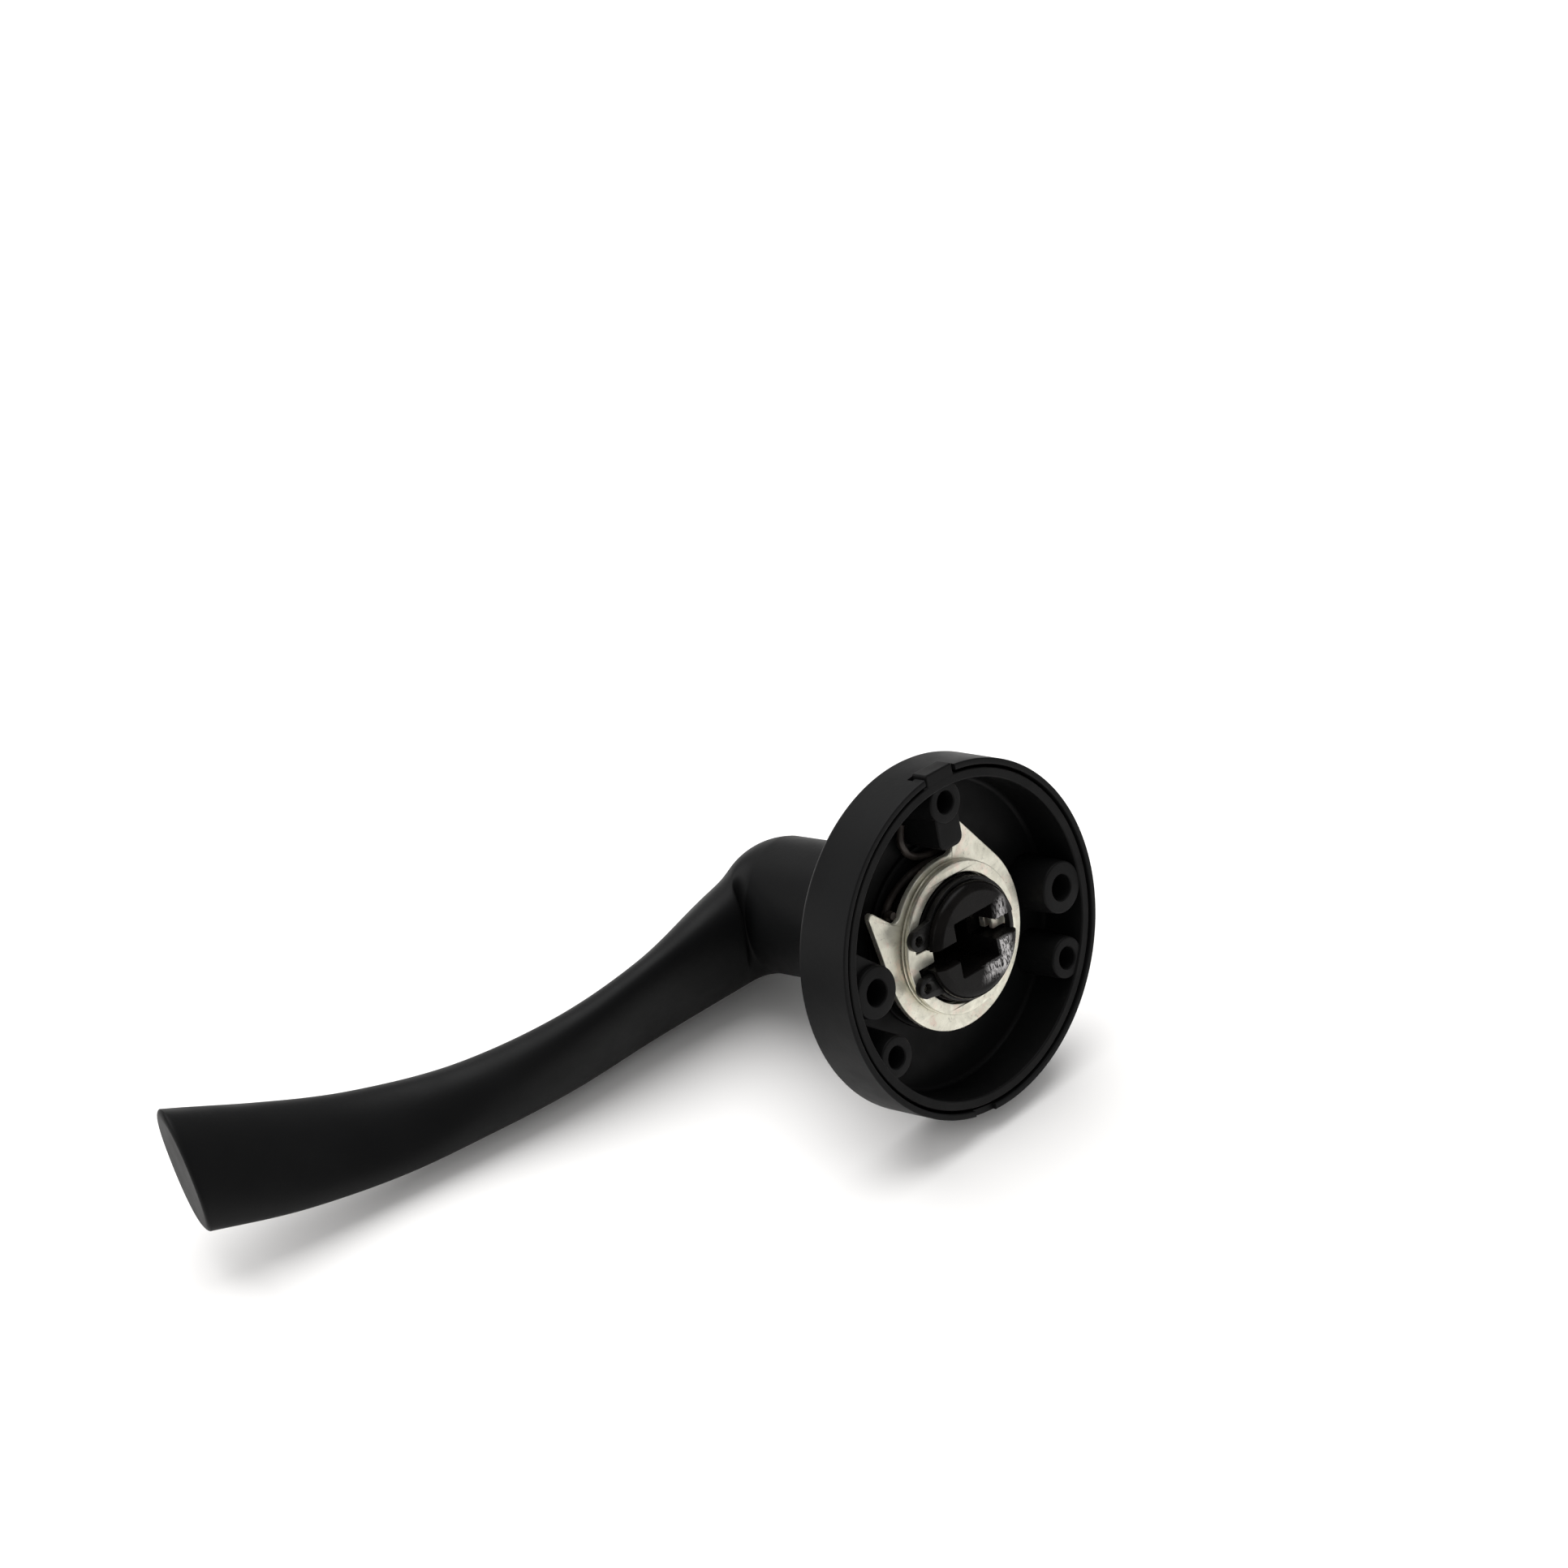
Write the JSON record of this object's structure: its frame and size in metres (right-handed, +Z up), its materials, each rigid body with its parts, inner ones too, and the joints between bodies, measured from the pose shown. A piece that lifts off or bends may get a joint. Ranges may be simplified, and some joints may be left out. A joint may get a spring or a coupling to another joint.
{
  "type": "door lever handle",
  "caption": "Lever door handle with a waisted, curved grip on a sprung round rose, shown open from the door side.",
  "frame": {"origin": "centre of the rose's mounting face, on the spindle axis", "axes": "+Y into the door, +Z up on the door, the lever reaches toward -X"},
  "size_m": [0.1278, 0.0566, 0.0506],
  "materials": {
    "powder_coat": "fine matte black powder coat on a zinc casting",
    "black_nylon": "moulded black, slightly satin",
    "spring_steel": "oiled dark spring wire",
    "zinc_plate": "bright zinc plated pressed steel",
    "black_steel": "phosphated black steel"
  },
  "bodies": {
    "rose": {"rose_cover": "powder_coat", "rose_base": "black_nylon", "torsion_spring": "spring_steel"},
    "lever": {"lever": "powder_coat", "stop_plate": "zinc_plate", "wave_washer": "zinc_plate", "keyed_washer": "zinc_plate", "circlip": "black_steel"}
  },
  "joints": [
    {"name": "lever_turn", "type": "hinge", "parent": "rose", "child": "lever", "pos_m": [0, 0, 0], "axis": [0, -1, 0], "range_deg": [0, 48], "stiffness_Nm_per_rad": 0.12, "springref_deg": -120.32, "deforming": ["torsion_spring"]}
  ]
}
